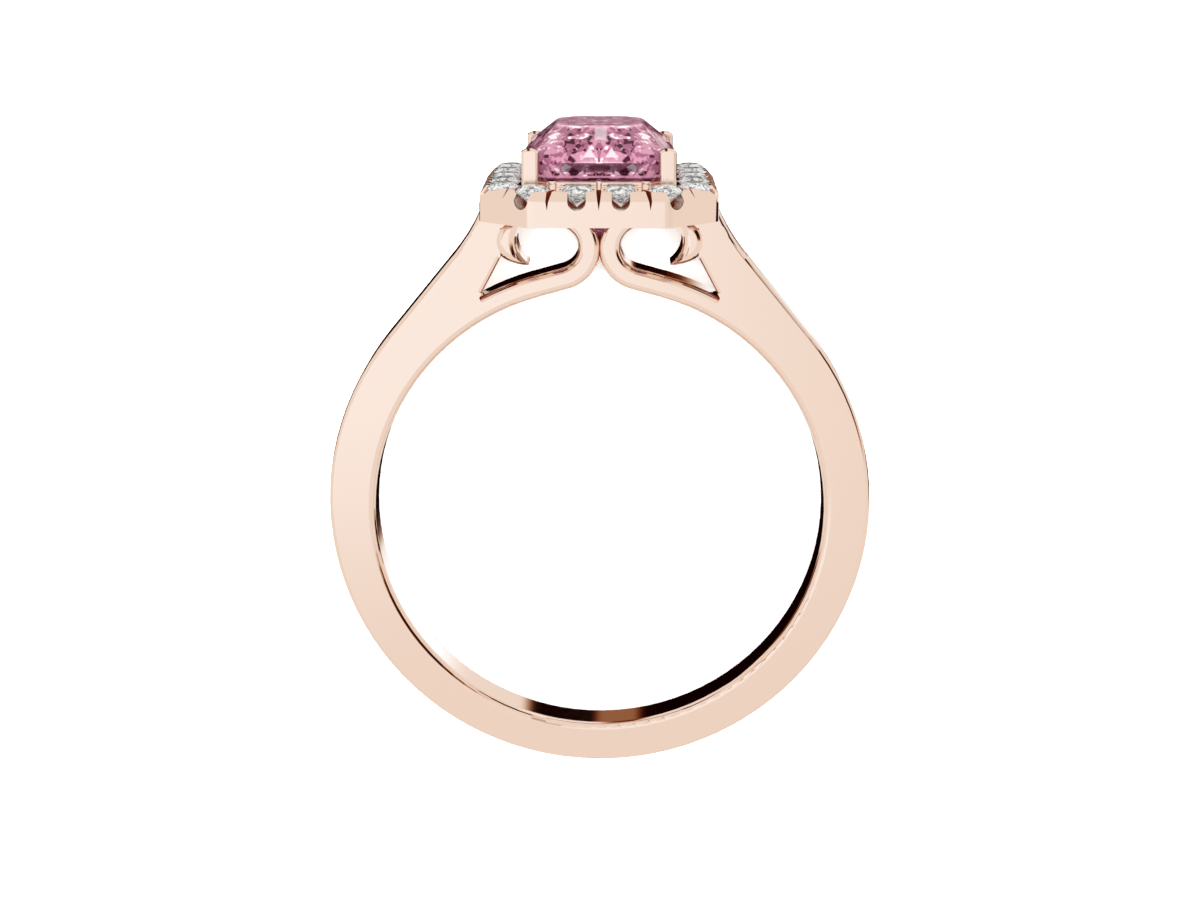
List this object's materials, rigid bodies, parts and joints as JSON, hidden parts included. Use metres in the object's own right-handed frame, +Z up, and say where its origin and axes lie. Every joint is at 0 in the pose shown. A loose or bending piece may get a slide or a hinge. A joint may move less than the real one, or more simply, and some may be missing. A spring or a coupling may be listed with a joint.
{
  "type": "halo ring",
  "caption": "Finger ring lying on its side: plain polished shank, scroll gallery and an octagonal halo of small round stones round a cut-corner centre stone in corner prongs.",
  "frame": {"origin": "centre of the bounding box on the floor that the ring lies on", "axes": "+Z up from the floor; +Y from the bottom of the shank towards the head; X across the finger, to the right as seen from the face that the picture shows"},
  "size_m": [0.0208, 0.0251, 0.01],
  "materials": {
    "rose_gold": "polished",
    "pink_stone": "polished",
    "white_stone": "polished"
  },
  "bodies": {
    "root": {"setting": "rose_gold", "centre_stone": "pink_stone", "halo_stone_01": "white_stone", "halo_stone_02": "white_stone", "halo_stone_03": "white_stone", "halo_stone_04": "white_stone", "halo_stone_05": "white_stone", "halo_stone_06": "white_stone", "halo_stone_07": "white_stone", "halo_stone_08": "white_stone", "halo_stone_09": "white_stone", "halo_stone_10": "white_stone", "halo_stone_11": "white_stone", "halo_stone_12": "white_stone", "halo_stone_13": "white_stone", "halo_stone_14": "white_stone", "halo_stone_15": "white_stone", "halo_stone_16": "white_stone", "halo_stone_17": "white_stone", "halo_stone_18": "white_stone"}
  },
  "joints": []
}
